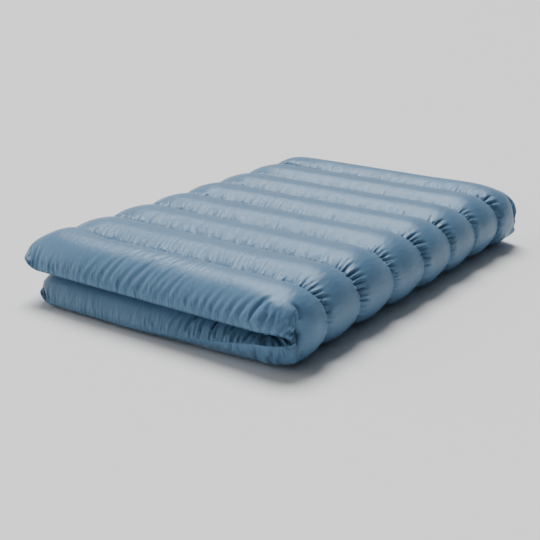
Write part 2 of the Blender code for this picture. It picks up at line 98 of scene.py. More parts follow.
# Heights of the hems and of the seams at the two ends
HEM_REACH = 0.08  # how far in from the hem its height is felt
LOWER_HEM_DROP = 0.018  # below the middle of the half
UPPER_HEM_DROP = 0.008
UPPER_END_DROP = 0.042
UPPER_END_HEM_RISE = 0.020
HEAD_Z = 0.015  # the lower half's head seam, at the open side
HEAD_RISE, HEAD_RISE_START_X, HEAD_RISE_POWER = 0.058, -0.1, 1.7  # its climb towards the fold
HEAD_HEM_RISE = 0.016
END_DROOP_REACH = 0.055
FOLD_END_OUT, FOLD_END_IN, FOLD_END_REACH = 0.096, 0.030, 0.07  # the end seams' turn round the fold
LOWER_CORNERS = (0.08, 0.06)  # radius at the head and at the foot
UPPER_CORNERS = (0.06, 0.05)

# How the cloth behaves
SEED = 11
BEND = (0.009, 0.03)  # stiffness along the seams and across them
DIAGONAL = 0.35
PRESSURE = 8e-6
STEPS = 200
DAMPING = 0.92
GAP = 0.0004
FLOOR_GAP = 0.0006
TOP_ROOM, SIDE_ROOM, UPPER_EDGE_ROOM, END_ROOM = 0.011, 0.010, 0.030, 0.012  # past the driving sizes
FAR = 9.0

# Gathers: shares of extra cloth, and how far each reaches. In a set the first is at every seam, the second is
# added where the seam is gathered, and the third is added round the fold.
FOLD_GATHERS_X, FOLD_GATHERS_RAMP = 0.05, 0.35
EDGE_GATHERS, EDGE_GATHERS_REACH = 0.75, 0.20
LOWER_GATHERS = 0.35  # share that the lower half has of the upper half's gathers
PUCKER_REACH = (0.013, 0.007, 0.006)
PUCKER_POWER = 1.4
PUCKERS = (0.09, 0.08, 0.09)
FULLNESS = (0.006, 0.008)  # between the seams
CROSS_FULLNESS = 0.012
UNEVEN = ((0.45, (30, 22)), (0.40, (8, 22)))  # strength, and lumps in cells
UNEVEN_LIMITS = (0.1, 2.4)
FOLD_TAKE_UP = 0.94  # length of the cloth round the fold, to a half circle of one layer's radius
MOST_FOLD_GATHER, MOST_GATHER = 0.42, 0.45
INSIDE_FOLD_CUT = 0.75
CRUSH, CRUSH_X, CRUSH_RAMP, CRUSH_REACH = 0.22, 0.02, 0.25, 0.12  # of the lining, at the head end of the fold
DRAG, DRAG_START, DRAG_RAMP = 0.14, 0.15, 0.6  # how the first channel's shell is pulled askew
RIPPLE, RIPPLE_LUMPS = 0.0006, (3.2, 14)
PUCKER_RIPPLE, PUCKER_LUMPS = 0.0014, (6, 11)
PLEAT, PLEAT_LUMPS, PLEAT_WIDTH = 0.006, (13, 40), 0.35

# Trim
THREAD = 0.0007
STITCH_SHARE = 0.36  # half a stitch, to one cell
BINDING = 0.0013
STRIP = 0.0012
STRIP_COLUMNS = (8, 2)  # a closing strip's columns of the grid, counted back from the foot end
TOOTH_PITCH = 0.0025
# One side of a tooth: how far out, to its length, and how far from its middle, to the pitch
TOOTH_OUTLINE = ((0.0, 0.28), (0.45, 0.24), (0.62, 0.46), (0.9, 0.44), (1.0, 0.30))
LEAD = 0.0021  # radius of the lead round the fold
LEAD_BEND = 0.012
LEAD_TAIL = 0.0395
SOFT_EDGE = 0.0003

# The view and the floor
LENS = 66
TARGET = (0.0545, -0.1751, 0.05)
AZIMUTH, ELEVATION, DISTANCE = 35.82, 18.99, 3.070  # in degrees, degrees and metres
FLOOR_HALF = 60


def smooth(t):
    t = np.clip(t, 0.0, 1.0)
    return t * t * (3 - 2 * t)


def soft_noise(rng, shape, lumps):
    """Smooth noise over a grid, about one unit high, whose lumps are that many cells wide along each axis."""
    spectrum = np.fft.rfft2(rng.standard_normal(shape))
    fi = np.fft.fftfreq(shape[0])[:, None] * lumps[0]
    fj = np.fft.rfftfreq(shape[1])[None, :] * lumps[1]
    spectrum *= np.exp(-2.5 * (fi**2 + fj**2))
    noise = np.fft.irfft2(spectrum, shape)
    return noise / noise.std()


class Stations:
    """Where the grid's rows lie: under the lower half, round the fold and over the upper half.

    phi is the direction a station faces, from -90 degrees on the lower half to 90 degrees on the upper half.
    weight is the same from 0 to 1, and bend is 1 halfway round the fold and 0 on the flat.
    """

    def __init__(self):
        lower_x, lower_full = self.flat(LOWER_EDGE_X, LOWER_ROUNDING)
        upper_x, upper_full = self.flat(UPPER_EDGE_X, UPPER_ROUNDING)
        down, up = -math.pi / 2, math.pi / 2
        turn = np.linspace(down, up, int(math.pi * LAYER / CELL) + 1)[1:-1]
        ones = np.ones(len(turn))
        self.lower = slice(0, len(lower_x))
        self.fold = slice(len(lower_x), len(lower_x) + len(turn))
        self.upper = slice(len(lower_x) + len(turn), None)
        self.x = np.concatenate([lower_x, FOLD_X * ones, upper_x[::-1]])
        self.phi = np.concatenate([np.full(len(lower_x), down), turn, np.full(len(upper_x), up)])
        self.full = np.concatenate([lower_full, ones, upper_full[::-1]])
        self.from_edge = np.concatenate([lower_x - LOWER_EDGE_X, ones, upper_x[::-1] - UPPER_EDGE_X])
        self.count = len(self.x)
        self.weight = self.phi / math.pi + 0.5
        self.bend = np.cos(self.phi).clip(0, 1)
        self.set_heights()

    @staticmethod
    def flat(edge_x, rounding):
        """x of the rows from a half's open edge to the fold, and how full the channels are, from 0 to 1."""
        hem = np.linspace(0, HEM_WIDTH, HEM_ROWS)[:-1]
        steps = int(math.hypot(rounding, CREST_OFF) * 1.06 / CELL)  # an arc is a little longer than its chord
        angle = np.linspace(0, math.pi / 2, steps + 1)
        from_edge = np.concatenate([hem, HEM_WIDTH + rounding * (1 - np.cos(angle))])
        fullness = np.concatenate([np.zeros(len(hem)), np.sin(angle)])
        start = edge_x + from_edge[-1]
        steps = int((FOLD_X - start) / CELL)
        x = np.linspace(start, FOLD_X, steps + 1)[1:]
        return np.concatenate([edge_x + from_edge, x]), np.concatenate([fullness, np.ones(steps)])

    def set_heights(self):
        """How far out from the fold's axis the middle of the cloths, the head seam and the foot seam lie."""
        upper, lower = self.weight, 1 - self.weight
        towards_fold = np.clip((self.x - HEAD_RISE_START_X) / (FOLD_X - HEAD_RISE_START_X), 0, 1)
        edge = 1 - smooth((self.from_edge - HEM_WIDTH) / HEM_REACH)
        hem = edge * (LOWER_HEM_DROP * lower - UPPER_HEM_DROP * upper)
        self.middle = LAYER / 2 + hem + FOLD_BELLY * self.bend**2
        upper_end = LAYER / 2 - UPPER_END_DROP + UPPER_END_HEM_RISE * edge
        head_z = HEAD_Z + HEAD_RISE * towards_fold**HEAD_RISE_POWER + HEAD_HEM_RISE * edge
        self.head = (LAYER - head_z) * lower + upper_end * upper
        self.foot = LAYER / 2 * lower + upper_end * upper

    def out(self):
        """The direction each station faces, away from the fold's axis."""
        return np.stack([np.cos(self.phi), np.zeros(self.count), np.sin(self.phi)], axis=1)


def channel_arc(low, high, sagitta):
    """Points of puffed arcs between points low and high of the (y, rho) plane.

    All have a row for each station.
    """
    chord = high - low
    length = np.linalg.norm(chord, axis=1)
    along = chord / length[:, None]
    normal = np.stack([-along[:, 1], along[:, 0]], axis=1)
    sagitta = np.sign(sagitta) * np.maximum(np.abs(sagitta), 1e-5)
    radius = (length**2 / 4 + sagitta**2) / (2 * sagitta)
    half = 2 * np.arctan2(sagitta, length / 2)
    t = np.linspace(-1, 1, CELLS + 1)[None, :]
    sideways = radius[:, None] * np.sin(half[:, None] * t)
    rise = radius[:, None] * (np.cos(half[:, None] * t) - np.cos(half)[:, None])
    rise = sagitta[:, None] * np.clip(rise / sagitta[:, None], 0, 1) ** SQUARENESS
    middle = (low + high) / 2
    return middle[:, None, :] + sideways[..., None] * along[:, None, :] + rise[..., None] * normal[:, None, :]


def wandering(stations):
    """Each seam's y along the stations, its depth, and each channel's plumpness.

    Sewing and filling aren't even.
    """
    rng = np.random.default_rng(SEED)
    shape, lumps = (stations.count, 8), (WANDER_LUMP / CELL, 1)
    noise = np.stack([soft_noise(rng, shape, lumps)[:, 0] for _ in range(3 * CHANNELS)])
    seam_y = -LENGTH / 2 + PITCH * np.arange(CHANNELS + 1)[:, None] + np.zeros(stations.count)
    seam_y[1:-1] += SEAM_WANDER * noise[: CHANNELS - 1]
    seam_y[0], seam_y[-1] = -END_Y, END_Y
    seam_depth = 1 + DEPTH_WANDER * noise[CHANNELS - 1 : 2 * CHANNELS]
    plump = 1 + PLUMP_WANDER * noise[2 * CHANNELS :]
    return seam_y, seam_depth, plump


def tuck_fold_ends(points, stations):
    """Draws the end seams into a tight turn at the outside of the fold, with the cloth beside them."""
    share = stations.weight[stations.fold]
    turn = np.sin(math.pi * share)
    rows = points[stations.fold]
    high_z = 3 * LAYER / 2 - UPPER_END_DROP
    for end, low_z in ((-1, LAYER - stations.head[stations.lower][-1]), (1, LAYER / 2)):
        column = 0 if end < 0 else -1
        x = FOLD_X + FOLD_END_OUT * turn**0.8
        z = low_z + (high_z - low_z) * smooth(share)
        target = np.stack([x, end * (END_Y - FOLD_END_IN * turn), z], axis=1)
        move = target - rows[:, column]
        fade = 1 - smooth((END_Y - end * rows[..., 1]) / FOLD_END_REACH)
        rows += move[:, None, :] * fade[..., None]


def round_corners(points, stations):
    """Rounds the corners of each half in plan."""
    lower = (stations.lower, LOWER_EDGE_X, LOWER_CORNERS)
    upper = (stations.upper, UPPER_EDGE_X, UPPER_CORNERS)
    for rows, edge_x, radii in (lower, upper):
        for end, radius in zip((-1, 1), radii):
            half = points[rows]
            u = np.clip((edge_x + radius - half[..., 0]) / radius, 0, 1)
            v = np.clip((end * half[..., 1] - END_Y + radius) / radius, 0, 1)
            inside = (u > 0) & (v > 0)
            x = edge_x + radius - radius * u * np.sqrt(1 - v**2 / 2)
            y = end * (END_Y - radius + radius * v * np.sqrt(1 - u**2 / 2))
            half[..., 0] = np.where(inside, x, half[..., 0])
            half[..., 1] = np.where(inside, y, half[..., 1])


def seam_offset(stations, side):
    """How far each cloth lies from the middle of its half at the quilting seams."""
    ramp = SEAM_RAMP - UPPER_RAMP_CUT * stations.weight * (side > 0)
    off = EDGE_OFF + (SEAM_OFF - EDGE_OFF) * smooth((stations.from_edge - HEM_WIDTH) / ramp)
    if side > 0:
        off *= 1 + UPPER_LIFT * stations.weight * (1 - smooth((stations.from_edge - LIFT_START) / LIFT_RAMP))
    return off


def skin_grid(stations, side):
    """The outer shell (side 1) or the lining (side -1) as points over (station, y)."""
    off = seam_offset(stations, side)
    seam_y, seam_depth, plump = wandering(stations)
    columns = []
    for k in range(CHANNELS):
        y0, y1 = seam_y[k], seam_y[k + 1]
        rho0 = stations.middle + side * off * seam_depth[k]
        rho1 = stations.middle + side * off * seam_depth[k + 1]
        if k == 0:
            rho0 = stations.head.copy()
        if k == CHANNELS - 1:
            rho1 = stations.foot.copy()
        target = LAYER / 2 + side * CREST_OFF * plump[k]
        if side < 0:
            target = target + LINING_BELLY * stations.bend
        sagitta = side * np.maximum(side * (target - (rho0 + rho1) / 2), LEAST_RISE)
        arc = channel_arc(np.stack([y0, rho0], axis=1), np.stack([y1, rho1], axis=1), sagitta)
        y = y0[:, None] + (y1 - y0)[:, None] * np.linspace(0, 1, CELLS + 1)[None, :]
        line = np.stack(np.broadcast_arrays(y, (stations.middle + side * EDGE_OFF)[:, None]), axis=2).copy()
        if k in (0, CHANNELS - 1):
            end = stations.head if k == 0 else stations.foot
            droop = 1 - smooth((END_Y - np.abs(y)) / END_DROOP_REACH)
            line[..., 1] += droop * (end - stations.middle)[:, None]
        full = stations.full[:, None, None]
        patch = line * (1 - full) + arc * full
        columns.append(patch if k == 0 else patch[:, 1:])
    grid = np.concatenate(columns, axis=1)
    y, rho = grid[..., 0], grid[..., 1]
    cos, sin = np.cos(stations.phi)[:, None], np.sin(stations.phi)[:, None]
    points = np.stack([stations.x[:, None] + rho * cos, y, LAYER + rho * sin], axis=2)
    tuck_fold_ends(points, stations)
    round_corners(points, stations)
    return points


class Cloth:
    """A grid of cloth that is pushed out by its filling, relaxed by position-based dynamics."""

    def __init__(self, points, pinned, stretch_s, stretch_y, shear, low, high, outward, pressure):
        self.p = points.astype(np.float32)
        self.v = np.zeros_like(self.p)
        self.w = np.where(pinned, 0.0, 1.0).astype(np.float32)
        self.low, self.high = low.astype(np.float32), high.astype(np.float32)
        self.outward, self.pressure = outward, pressure.astype(np.float32)
        rest_s = np.linalg.norm(np.diff(points, axis=0), axis=2) * (1 + stretch_s)
        rest_y = np.linalg.norm(np.diff(points, axis=1), axis=2) * (1 + stretch_y)
        a, b = (rest_s[:, :-1] + rest_s[:, 1:]) / 2, (rest_y[:-1] + rest_y[1:]) / 2
        square, twist = a**2 + b**2, 2 * a * b * shear
        everywhere, left, right = slice(None), slice(0, -1), slice(1, None)
        self.links = []
        for parity in (0, 1):
            here, there = slice(parity, -1, 2), slice(parity + 1, None, 2)
            self.add((here, everywhere), (there, everywhere), rest_s[parity::2], 1.0)
            self.add((everywhere, here), (everywhere, there), rest_y[:, parity::2], 1.0)
        for parity in (0, 1):
            here, there = slice(parity, -1, 2), slice(parity + 1, None, 2)
            self.add((here, left), (there, right), np.sqrt(square + twist)[parity::2], DIAGONAL)
            self.add((here, right), (there, left), np.sqrt(square - twist)[parity::2], DIAGONAL)
        skip_s, skip_y = rest_s[:-1] + rest_s[1:], rest_y[:, :-1] + rest_y[:, 1:]
        self.add((slice(0, -2), everywhere), (slice(2, None), everywhere), skip_s, BEND[0])
        self.add((everywhere, slice(0, -2)), (everywhere, slice(2, None)), skip_y, BEND[1])

    def add(self, a, b, rest, stiffness):
        """Links the points of slice a with those of slice b, at their rest lengths."""
        wa, wb = self.w[a], self.w[b]
        total = wa + wb
        share = np.where(total > 0, stiffness / np.maximum(total, 1e-6), 0).astype(np.float32)
        self.links.append((a, b, rest.astype(np.float32), share * wa, share * wb))

    def project(self):
        """Moves the points of each link towards its rest length."""
        for a, b, rest, wa, wb in self.links:
            d = self.p[b] - self.p[a]
            length = np.sqrt(np.einsum("ijk,ijk->ij", d, d)) + 1e-9
            d *= ((length - rest) / length)[..., None]
            self.p[a] += d * wa[..., None]
            self.p[b] -= d * wb[..., None]

    def normals(self):
        """The directions away from the filling."""
        ds, dy = np.gradient(self.p, axis=0), np.gradient(self.p, axis=1)
        n = np.cross(dy, ds)
        n *= self.outward / (np.linalg.norm(n, axis=2, keepdims=True) + 1e-12)
        return n

    def relax(self):
        for step in range(STEPS):
            if step % 4 == 0:
                push = self.normals() * (self.pressure * self.w)[..., None]
            before = self.p.copy()
            self.v += push
            self.p += self.v
            self.project()
            np.clip(self.p, self.low, self.high, out=self.p)
            self.v = (self.p - before) * DAMPING


def cloth_limits(points, stations, pinned):
    """The lowest and highest place of each point.

    They keep it on the floor, clear of the other half and in its own channel.
    """
    low = np.full(points.shape, -FAR)
    high = np.full(points.shape, FAR)
    lower, fold, upper = stations.lower, stations.fold, stations.upper
    low[lower, :, 2] = low[fold, :, 2] = FLOOR_GAP
    high[lower, :, 2] = LAYER - GAP
    low[upper, :, 2] = LAYER + GAP
    high[upper, :, 2] = high[fold, :, 2] = 2 * LAYER + TOP_ROOM
    low[fold, :, 0] = FOLD_X - GAP
    high[..., 0] = FOLD_X + LAYER + SIDE_ROOM
    low[lower, :, 0] = LOWER_EDGE_X - SIDE_ROOM
    low[upper, :, 0] = UPPER_EDGE_X - UPPER_EDGE_ROOM
    low[..., 1] = -LENGTH / 2 - END_ROOM
    high[..., 1] = LENGTH / 2 + END_ROOM
    for seam in range(CELLS, CHANNELS * CELLS, CELLS):
        y = points[:, seam, 1][:, None]
        high[:, seam - CELLS + 1 : seam, 1] = y - GAP
        low[:, seam + 1 : seam + CELLS, 1] = y + GAP
    low[pinned] = -FAR
    high[pinned] = FAR
    return low, high


def fold_gathers(points, stations):
    """Extra shell cloth round the fold, where the seams take a shorter line than the crests between them."""
    step = np.linalg.norm(np.diff(points, axis=0), axis=2)
    wanted = FOLD_TAKE_UP * LAYER * math.pi / (stations.fold.stop - stations.fold.start + 1)
    gather = np.clip(wanted / np.maximum(step, 1e-6) - 1, 0, MOST_FOLD_GATHER)
    return gather * (stations.bend[:-1, None] ** 0.3 * (stations.x == FOLD_X)[:-1, None])


def crushed_lining(points, stations):
    """How crushed the lining is, from 0 to 1: most on the inside of the fold at its head end."""
    by_fold = smooth((stations.x - CRUSH_X) / CRUSH_RAMP)[:, None]
    at_head = np.exp(-(((points[..., 1] + END_Y) / CRUSH_REACH) ** 2))
    return by_fold * at_head * np.cos(math.pi * stations.weight / 2)[:, None]


def relaxed_skin(stations, side):
    """The shell (side 1) or the lining (side -1), gathered along its seams and relaxed over its filling.

    Gives its points and the directions away from the filling.
    """
    rng = np.random.default_rng(SEED + side)
    points = skin_grid(stations, side)
    rows, cols = shape = points.shape[:2]
    column = np.arange(cols)
    pinned = np.zeros(shape, bool)
    pinned[:, column % CELLS == 0] = True
    pinned[:HEM_ROWS] = pinned[-HEM_ROWS:] = True

    from_seam = np.minimum(column % CELLS, CELLS - column % CELLS) * CELL
    by_fold = smooth((stations.x - FOLD_GATHERS_X) / FOLD_GATHERS_RAMP)
    by_edge = EDGE_GATHERS * np.exp(-((stations.from_edge / EDGE_GATHERS_REACH) ** 2))
    by_half = LOWER_GATHERS + (1 - LOWER_GATHERS) * smooth(stations.weight * 2)
    gathered = (np.maximum(by_fold, by_edge) * by_half)[:, None]
    round_fold = stations.bend[:, None] ** 0.5
    reach = PUCKER_REACH[0] + PUCKER_REACH[1] * gathered + PUCKER_REACH[2] * round_fold
    near = np.exp(-((from_seam[None, :] / reach) ** PUCKER_POWER))
    patchy = 1 + sum(strength * soft_noise(rng, shape, lumps) for strength, lumps in UNEVEN)
    patchy = np.clip(patchy, *UNEVEN_LIMITS)
    puckers = (PUCKERS[0] + PUCKERS[1] * gathered + PUCKERS[2] * round_fold) * near
    excess = (FULLNESS[0] + FULLNESS[1] * gathered + puckers) * patchy
    pressure = np.full(shape, PRESSURE)
    if side > 0:
        stretch_s = np.clip(excess[:-1] + fold_gathers(points, stations), 0, MOST_GATHER)
    else:
        crushed = crushed_lining(points, stations)
        stretch_s = (excess * (1 - INSIDE_FOLD_CUT * stations.bend[:, None]) + CRUSH * crushed)[:-1]
        pressure[stations.fold] = 0
    stretch_y = np.full((rows, cols - 1), CROSS_FULLNESS)
    forward = (column[:-1] < CELLS) * (1 - smooth((column[:-1] / CELLS - DRAG_START) / DRAG_RAMP))
    shear = (DRAG if side > 0 else 0.0) * forward[None, :] * stations.weight[:-1, None]

    low, high = cloth_limits(points, stations, pinned)
    cloth = Cloth(points, pinned, stretch_s, stretch_y, shear, low, high, side, pressure)
    ripple = soft_noise(rng, shape, RIPPLE_LUMPS) * RIPPLE * (0.4 + near) * patchy
    ripple += soft_noise(rng, shape, PUCKER_LUMPS) * PUCKER_RIPPLE * near * patchy
    if side < 0:
        pleats = np.exp(-((soft_noise(rng, shape, PLEAT_LUMPS) / PLEAT_WIDTH) ** 2))
        ripple -= PLEAT * pleats * crushed
    cloth.p += (cloth.normals() * side * (ripple * ~pinned)[..., None]).astype(np.float32)
    cloth.relax()
    return cloth.p.astype(float), cloth.normals().astype(float)


def grid_quads(rows, cols):
    index = np.arange(rows * cols).reshape(rows, cols)
    return np.stack([index[:-1, :-1], index[1:, :-1], index[1:, 1:], index[:-1, 1:]], axis=2).reshape(-1, 4)


def new_object(name, mesh, made_of):
    mesh.materials.append(made_of)
    obj = bpy.data.objects.new(name, mesh)
    bpy.context.scene.collection.objects.link(obj)
    return obj


def solid(name, points, faces, made_of, rounded=True):
    """A closed piece of mesh, or several that belong together, with their faces pointing out."""
    mesh = bpy.data.meshes.new(name)
    mesh.from_pydata([tuple(p) for p in points], [], faces)
    bm = bmesh.new()
    bm.from_mesh(mesh)
    bmesh.ops.recalc_face_normals(bm, faces=bm.faces)
    bm.to_mesh(mesh)
    bm.free()
    mesh.polygons.foreach_set("use_smooth", np.full(len(mesh.polygons), rounded))
    obj = new_object(name, mesh, made_of)
    return obj


def bend_with_fold(obj):
    """Bakes obj's placement into its mesh; it follows neither half."""
    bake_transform(obj)


def skin(name, points, flip, made_of):
    """One cloth as a smooth mesh. Its UV map is the cloth laid flat, in metres."""
    rows, cols = points.shape[:2]
    quads = grid_quads(rows, cols)
    if flip:
        quads = quads[:, ::-1]
    mesh = bpy.data.meshes.new(name)
    mesh.vertices.add(rows * cols)
    mesh.vertices.foreach_set("co", points.astype(np.float32).ravel())
    mesh.loops.add(quads.size)
    mesh.loops.foreach_set("vertex_index", quads.ravel().astype(np.int32))
    mesh.polygons.add(len(quads))
    mesh.polygons.foreach_set("loop_start", np.arange(0, quads.size, 4, dtype=np.int32))
    mesh.polygons.foreach_set("use_smooth", np.ones(len(quads), bool))
    mesh.update(calc_edges=True)
    across, along = np.meshgrid(np.arange(rows) * CELL, np.arange(cols) * CELL, indexing="ij")
    flat = np.stack([across.ravel(), along.ravel()], axis=1)[quads.ravel()]
    mesh.uv_layers.new(name="flat").data.foreach_set("uv", flat.astype(np.float32).ravel())
    obj = new_object(name, mesh, made_of)
    bend_with_fold(obj)
    return obj


def tube(name, path, radius, made_of, sides):
    """A closed round rope along a path of points."""
    path = np.asarray(path, float)
    tangent = np.gradient(path, axis=0)
    tangent /= np.linalg.norm(tangent, axis=1, keepdims=True)
    carried = np.cross(tangent[0], (0.3, 0.5, 0.8))  # any direction that no path here starts along
    aside = []
    for direction in tangent:
        carried = carried - direction * carried.dot(direction)
        carried = carried / np.linalg.norm(carried)
        aside.append(carried)
    aside = np.array(aside)
    other = np.cross(tangent, aside)
    angle = np.arange(sides) * 2 * math.pi / sides
    ring = np.cos(angle)[None, :, None] * aside[:, None, :] + np.sin(angle)[None, :, None] * other[:, None, :]
    points = (path[:, None, :] + radius * ring).reshape(-1, 3)
    ring_of = np.arange(len(points)).reshape(-1, sides)
    faces = [list(map(int, ring_of[0])), list(map(int, ring_of[-1]))]
    for a, b in zip(ring_of[:-1].tolist(), ring_of[1:].tolist()):
        faces += [[a[j], a[j - 1], b[j - 1], b[j]] for j in range(sides)]
    return solid(name, points, faces, made_of)


def seam_stitches(name, points, stations, side, made_of):
    """The quilting thread: a short, slightly raised length of it to each cell of every cross seam."""
    inner = slice(HEM_ROWS, -HEM_ROWS)
    seams = [k * CELLS for k in range(1, CHANNELS)]
    line = points[inner, seams]
    out = (side * stations.out())[inner, None, :]
    out = np.broadcast_to((out[:-1] + out[1:]) / 2, line[:-1].shape)
    along = (line[1:] - line[:-1]) * STITCH_SHARE
    across = np.cross(along, out)
    across *= THREAD / 2 / (np.linalg.norm(across, axis=2, keepdims=True) + 1e-12)
    middle = (line[1:] + line[:-1]) / 2
    square = ((-1, -1), (1, -1), (1, 1), (-1, 1))
    wide_base, short_top = (0.2, 1), (0.9, 0.6)  # how high, in threads, and how long
    pattern = [(i * length, j, height) for height, length in (wide_base, short_top) for i, j in square]
    block = [middle + i * along + j * across + out * (THREAD * height) for i, j, height in pattern]
    corners = np.stack(block, axis=2).reshape(-1, 3)
    box = np.array([(0, 3, 2, 1), (4, 5, 6, 7), (0, 1, 5, 4), (1, 2, 6, 5), (2, 3, 7, 6), (3, 0, 4, 7)])
    faces = (box[None] + 8 * np.arange(len(corners) // 8)[:, None, None]).reshape(-1, 4)
    obj = solid(name, corners, faces.tolist(), made_of, rounded=False)
    bend_with_fold(obj)


def edge_bindings(points, made_of):
    """The turned edge all round the blanket, where the shell and the lining are sewn together."""
    sides = 6
    for name, column in (("head_binding", 0), ("foot_binding", -1)):
        obj = tube(name, points[:, column], BINDING, made_of, sides)
        bend_with_fold(obj)
    for half, row in zip(HALVES, (0, -1)):
        obj = tube(f"{half}_side_binding", points[row], BINDING, made_of, sides)
        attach(obj, f"{half}_half")


def foot_strip(half, node, points, normals, stations, made_of):
    """A closing strip that lies on the lining beside the foot end, as long as its CAD piece."""
    low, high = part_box(node)
    rows = np.arange(stations.count)[getattr(stations, half)]
    rows = rows[(stations.x[rows] > low.x) & (stations.x[rows] < high.x)]
    cols = points.shape[1] - np.arange(STRIP_COLUMNS[0], STRIP_COLUMNS[1], -1)
    cloth, out = points[np.ix_(rows, cols)], normals[np.ix_(rows, cols)]
    count = len(rows) * len(cols)
    index = np.arange(count).reshape(len(rows), len(cols))
    rim = [*index[0, :], *index[1:, -1], *index[-1, -2::-1], *index[-2:0:-1, 0]]
    walls = [[a, b, b + count, a + count] for a, b in zip(rim, rim[1:] + rim[:1])]
    quads = grid_quads(len(rows), len(cols))
    faces = quads.tolist() + (quads[:, ::-1] + count).tolist() + [list(map(int, wall)) for wall in walls]
    corners = np.concatenate([(cloth + out * STRIP).reshape(-1, 3), (cloth - out * STRIP / 3).reshape(-1, 3)])
    obj = solid(node.replace("strip", "pile"), corners, faces, made_of)
    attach(obj, f"{half}_half")
    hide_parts(node)


def zip_teeth(half, made_of):
    """The moulded teeth of one side of the zip: narrow where they leave the tape, wide at the tip."""
    node = f"{half}_zip_chain"
    low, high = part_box(node)
    outline = [*TOOTH_OUTLINE, *((u, -v) for u, v in reversed(TOOTH_OUTLINE))]
    n = len(outline)
    points, faces = [], []
    for i in range(int((high.y - low.y) / TOOTH_PITCH)):
        y = low.y + (i + 0.5) * TOOTH_PITCH
        first = len(points)
        for z in (low.z, high.z):
            points += [(high.x - u * (high.x - low.x), y + v * TOOTH_PITCH, z) for u, v in outline]
        faces.append([first + j for j in range(n)])
        faces.append([first + n + j for j in range(n)])
        faces += [[first + j, first + (j + 1) % n, first + n + (j + 1) % n, first + n + j] for j in range(n)]
    obj = solid(f"{half}_zip_teeth", points, faces, made_of, rounded=False)
    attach(obj, f"{half}_half")
    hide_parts(node)


def fold_lead_cable(made_of):
    """The lead from the inlet, round the fold, to the upper heater. It lies inside the padding."""
    low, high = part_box("fold_lead")
    radius = (high.z - low.z) / 2 - LEAD
    start, y = low.x + LEAD, low.y + LEAD
    bends = [(1 - math.cos(t), 1 - math.sin(t)) for t in np.linspace(0, math.pi / 2, 5)]
    flat = [(start, high.y), *((start + LEAD_BEND * a, y + LEAD_BEND * b) for a, b in bends)]
    flat += [(x, y) for x in np.linspace(start + 2 * LEAD_BEND, FOLD_X, 6)]
    turn = np.linspace(-math.pi / 2, math.pi / 2, 24)[1:]
    path = [(x, y, LAYER - radius) for x, y in flat]
    path += [(FOLD_X + radius * math.cos(t), y, LAYER + radius * math.sin(t)) for t in turn]
    path += [(FOLD_X - LEAD_TAIL, y, LAYER + radius)]
    sides = 8
    obj = tube("fold_lead_cable", path, LEAD, made_of, sides)
    bend_with_fold(obj)
    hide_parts("fold_lead")


def node(made, kind, inputs=None, **settings):
    """Adds a shader node, sets its properties, and feeds its inputs from values or other nodes' outputs."""
    new = made.node_tree.nodes.new(kind)
    for key, value in settings.items():
        setattr(new, key, value)
    for key, value in (inputs or {}).items():
        if isinstance(value, bpy.types.NodeSocket):
            made.node_tree.links.new(value, new.inputs[key])
        else:
            new.inputs[key].default_value = value
    return new


def principled(name, colour, roughness, **sockets):
    made = bpy.data.materials.new(name)
    made.use_nodes = True
    shader = made.node_tree.nodes["Principled BSDF"]
    shader.inputs["Base Color"].default_value = (*colour, 1)
    shader.inputs["Roughness"].default_value = roughness
    for key, value in sockets.items():
        shader.inputs[key.replace("_", " ")].default_value = value
    return made, shader


def place(made, coords):
    """Where on a piece a point is: on the cloth laid flat, in metres, or in the object's own space."""
    if coords == "flat":
        return node(made, "ShaderNodeUVMap", uv_map="flat").outputs["UV"]
    return node(made, "ShaderNodeTexCoord").outputs["Object"]


def noise(made, where, per_metre, detail=2.0, stretch=(1, 1, 1)):
    """Noise from 0 to 1, with about that many lumps in a metre, drawn out along an axis by stretch."""
    scaled = node(made, "ShaderNodeMapping", {"Vector": where, "Scale": stretch}).outputs["Vector"]
    inputs = {"Vector": scaled, "Scale": per_metre, "Detail": detail}
    return node(made, "ShaderNodeTexNoise", inputs).outputs["Fac"]


def bands(made, where, axis, period):
    """Waves from 0 to 1 across an axis, one period metres apart."""
    scale = 2 * math.pi / (20 * period)  # at scale 1 the node's waves are 2 pi / 20 apart
    wave = node(made, "ShaderNodeTexWave", {"Vector": where, "Scale": scale}, bands_direction=axis)
    return wave.outputs["Fac"]


def vary_colour(made, shader, factor, colour, spread):
    """Darkens and lightens the base colour by up to spread, following factor."""
    darker, lighter = ([channel * share for channel in colour] + [1] for share in (1 - spread, 1 + spread))
    inputs = {0: factor, 6: darker, 7: lighter}  # the sockets of the mix that hold colours, as does output 2
    mix = node(made, "ShaderNodeMix", inputs, data_type="RGBA")
    made.node_tree.links.new(mix.outputs[2], shader.inputs["Base Color"])


def vary_roughness(made, shader, factor, low, high):
    """Moves the roughness between low and high, following factor."""
    inputs = {"Value": factor, "To Min": low, "To Max": high}
    roughness = node(made, "ShaderNodeMapRange", inputs).outputs["Result"]
    made.node_tree.links.new(roughness, shader.inputs["Roughness"])


def raise_by(made, shader, heights):
    """Bumps the surface by each (height from 0 to 1, depth in metres) pair in turn."""
    normal = None
    for height, depth in heights:
        inputs = {"Height": height, "Distance": depth, "Strength": 1.0}
        if normal:
            inputs["Normal"] = normal
        normal = node(made, "ShaderNodeBump", inputs).outputs["Normal"]
    made.node_tree.links.new(normal, shader.inputs["Normal"])


